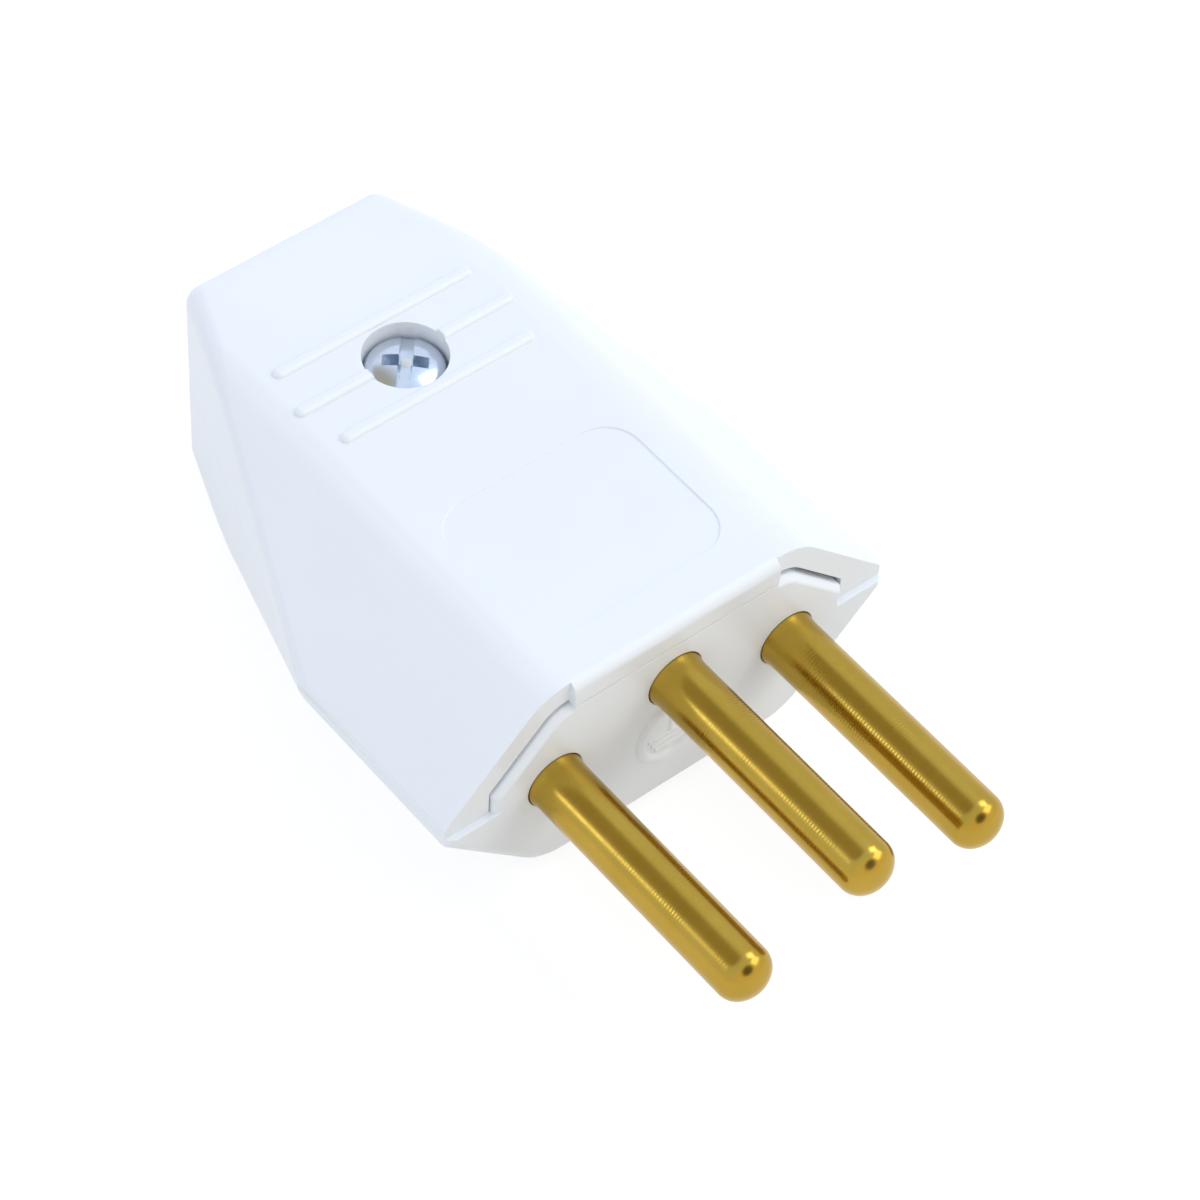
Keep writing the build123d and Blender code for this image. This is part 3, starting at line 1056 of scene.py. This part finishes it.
lightTent = {
    "strength": 1.16,
    "level": "#ECEEF0",
    "overhead": "#D7E8FF",
    "ends": (  # front, then back: its colour, and where along y it starts and is full
        {"colour": "#F8F1E3", "reach": (-0.1, -0.9)},
        {"colour": "#E2E9F7", "reach": (0.1, 0.6)},
    ),
    "openings": (  # the reach is in cosines from the middle of an opening
        {"toward": (-0.288, 0.470, 0.835), "colour": "#ABA594", "reach": (0.84, 0.96)},
        {"toward": (-0.013, -0.803, 0.592), "colour": "#6A6662", "reach": (0.90, 0.97)},
    ),
}


def makeSky(size):
    # light tent: cool and even overhead, warm to the front, with two darker openings
    world = bpy.data.worlds.new("lightTent")
    scene.world = world
    world.use_nodes = True
    tree = world.node_tree
    tree.nodes.clear()
    ray = addNode(tree, "ShaderNodeTexCoord").outputs["Generated"]
    axes = addNode(tree, "ShaderNodeSeparateXYZ", {0: ray})
    tone = addNode(tree, "ShaderNodeMix", {
        "Factor": axes.outputs["Z"], 6: hexColour(size["level"]), 7: hexColour(size["overhead"]),
    }, data_type="RGBA")
    patches = [(axes.outputs["Y"], end) for end in size["ends"]]
    for opening in size["openings"]:
        toward = addNode(tree, "ShaderNodeVectorMath", {
            0: ray, 1: opening["toward"],
        }, operation="DOT_PRODUCT")
        patches.append((toward.outputs["Value"], opening))
    for value, patch in patches:
        share = addNode(tree, "ShaderNodeMapRange", {
            "Value": value, "From Min": patch["reach"][0], "From Max": patch["reach"][1],
        }, interpolation_type="SMOOTHSTEP")
        tone = addNode(tree, "ShaderNodeMix", {
            "Factor": share.outputs["Result"], 6: tone.outputs[2], 7: hexColour(patch["colour"]),
        }, data_type="RGBA")
    tent = addNode(tree, "ShaderNodeBackground", {
        "Color": tone.outputs[2], "Strength": size["strength"],
    })
    addNode(tree, "ShaderNodeOutputWorld", {"Surface": tent.outputs[0]})


lampDistance = 0.6  # metres from the middle of the plug
lamps = {
    "highlightLamp": {
        "toward": (0.555, -0.05, 0.83), "size": (0.24, 0.24), "radiance": 2.6, "colour": "#FFFFFF",
    },
    "tipLamp": {
        "toward": (0.6, -0.49, 0.64), "size": (0.34, 0.28), "radiance": 1.7, "colour": "#FFFFFF",
    },
    "stripLamp": {
        "toward": (-0.74, 0.470, 0.481), "size": (0.16, 0.11), "radiance": 2.9,
        "colour": "#E6EAFF",
    },
}


def makeLamp(name, size):
    light = bpy.data.lights.new(name, "AREA")
    light.shape = "RECTANGLE"
    light.size, light.size_y = size["size"]
    light.color = hexColour(size["colour"])[:3]
    light.energy = size["radiance"] * math.pi * light.size * light.size_y  # in watts
    lamp = bpy.data.objects.new(name, light)
    direction = Vector(size["toward"]).normalized()
    lamp.location = (cadBox[0] + cadBox[1]) / 2 + direction * lampDistance
    lamp.rotation_mode = "QUATERNION"
    lamp.rotation_quaternion = direction.to_track_quat("Z", "Y")
    scene.collection.objects.link(lamp)


makeFloor(floorSweep)
makeSky(lightTent)
for name, size in lamps.items():
    makeLamp(name, size)

viewpoint = {
    "azimuth": -42.09,
    "elevation": 50.66,
    "roll": -4.14,
    "distance": 278.7,
    "across": 4.604,
    "along": -6.826,
    "lens": 131.82,
    "sensor": 36.0,
    "clipStart": 10.0,
}


def makeCamera(size):
    azimuth, elevation, roll = (math.radians(size[k]) for k in ("azimuth", "elevation", "roll"))
    flat = math.cos(elevation)
    back = Vector((math.sin(azimuth) * flat, -math.cos(azimuth) * flat, math.sin(elevation)))
    level = Vector((math.cos(azimuth), math.sin(azimuth), 0.0))
    rise = back.cross(level)
    right = math.cos(roll) * level - math.sin(roll) * rise
    up = math.sin(roll) * level + math.cos(roll) * rise
    data = bpy.data.cameras.new("photoCamera")
    data.lens = size["lens"]
    data.sensor_width = size["sensor"]
    data.clip_start = size["clipStart"] * mm
    camera = bpy.data.objects.new("photoCamera", data)
    turn = Matrix((right, up, back)).transposed().to_4x4()
    spot = (back * size["distance"] - right * size["across"] - up * size["along"]) * mm
    camera.matrix_world = Matrix.Translation(spot) @ turn
    scene.collection.objects.link(camera)
    scene.camera = camera


makeCamera(viewpoint)
print("studio set")
